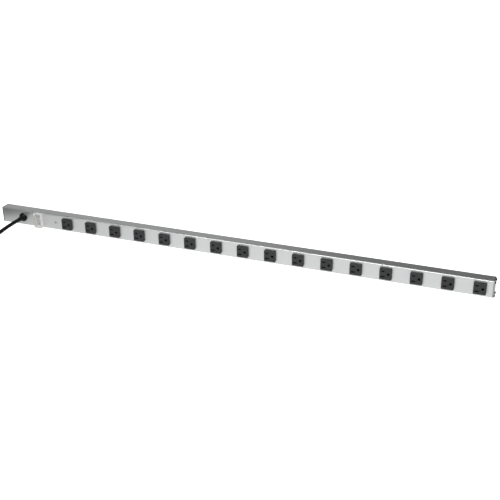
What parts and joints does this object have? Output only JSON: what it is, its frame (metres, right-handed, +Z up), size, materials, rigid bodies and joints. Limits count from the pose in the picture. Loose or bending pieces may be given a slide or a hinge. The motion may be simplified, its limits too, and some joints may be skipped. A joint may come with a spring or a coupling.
{
  "type": "rack power strip",
  "caption": "Long slim aluminium rack power strip with a row of grounded outlets along its face, a guarded rocker switch, a pilot lamp and a supply cord with plug.",
  "frame": {"origin": "centre of the underside of the strip, without its cord, where it stands on its long lower side", "axes": "+X along the strip away from the cord end, -Y out of the outlet face, +Z up"},
  "size_m": [1.3366, 0.2106, 0.0396],
  "materials": {
    "strip_aluminium": "satin anodised extrusion",
    "cover_steel": "satin grey",
    "zinc_steel": "zinc plated",
    "cap_aluminium": "satin",
    "dark_screw": "black oxide",
    "bus_brass": "plain",
    "fibre_sheet": "matt",
    "outlet_plastic": "moulded, satin",
    "switch_case": "satin",
    "rocker_plastic": "satin",
    "guard_plastic": "satin",
    "clear_cover": "clear",
    "lamp_bezel": "satin",
    "lamp_lens": "translucent green",
    "lamp_bulb": "clear",
    "black_nylon": "satin",
    "wire_black": "satin",
    "wire_white": "satin",
    "wire_green": "satin",
    "cord_jacket": "matt",
    "tie_fabric": "woven hook and loop",
    "plug_vinyl": "satin",
    "blade_brass": "bright"
  },
  "bodies": {
    "strip": {"housing": "strip_aluminium", "rear_cover": "cover_steel", "mounting_nuts": "zinc_steel", "end_cap_left": "cap_aluminium", "end_cap_right": "cap_aluminium", "end_cap_screws": "dark_screw", "hot_bus": "bus_brass", "neutral_bus": "bus_brass", "ground_bus": "bus_brass", "bus_insulator": "fibre_sheet", "switch_body": "switch_case", "switch_terminals": "bus_brass", "switch_guard": "guard_plastic", "guard_hinge_pin": "zinc_steel", "pilot_bezel": "lamp_bezel", "pilot_lens": "lamp_lens", "pilot_bulb": "lamp_bulb", "strain_relief": "black_nylon", "strain_relief_nut": "black_nylon", "hot_lead": "wire_black", "neutral_lead": "wire_white", "ground_lead": "wire_green", "ground_stud": "zinc_steel", "ground_nut": "zinc_steel", "supply_cord": "cord_jacket", "cord_coil": "cord_jacket", "cord_tail": "cord_jacket", "coil_tie": "tie_fabric", "plug_body": "plug_vinyl", "plug_blades": "blade_brass", "plug_ground_pin": "blade_brass", "outlet_01": "outlet_plastic", "outlet_02": "outlet_plastic", "outlet_03": "outlet_plastic", "outlet_04": "outlet_plastic", "outlet_05": "outlet_plastic", "outlet_06": "outlet_plastic", "outlet_07": "outlet_plastic", "outlet_08": "outlet_plastic", "outlet_09": "outlet_plastic", "outlet_10": "outlet_plastic", "outlet_11": "outlet_plastic", "outlet_12": "outlet_plastic", "outlet_13": "outlet_plastic", "outlet_14": "outlet_plastic", "outlet_15": "outlet_plastic", "outlet_16": "outlet_plastic"},
    "rocker": {"switch_rocker": "rocker_plastic"},
    "cover": {"guard_cover": "clear_cover"}
  },
  "joints": [
    {"name": "rocker_pivot", "type": "hinge", "parent": "strip", "child": "rocker", "pos_m": [-0.5007, -0.0071, 0.0198], "axis": [1, 0, 0], "range_deg": [0, 16]},
    {"name": "cover_hinge", "type": "hinge", "parent": "strip", "child": "cover", "pos_m": [-0.5097, -0.0167, 0.02], "axis": [0, 0, -1], "range_deg": [0, 125]}
  ]
}
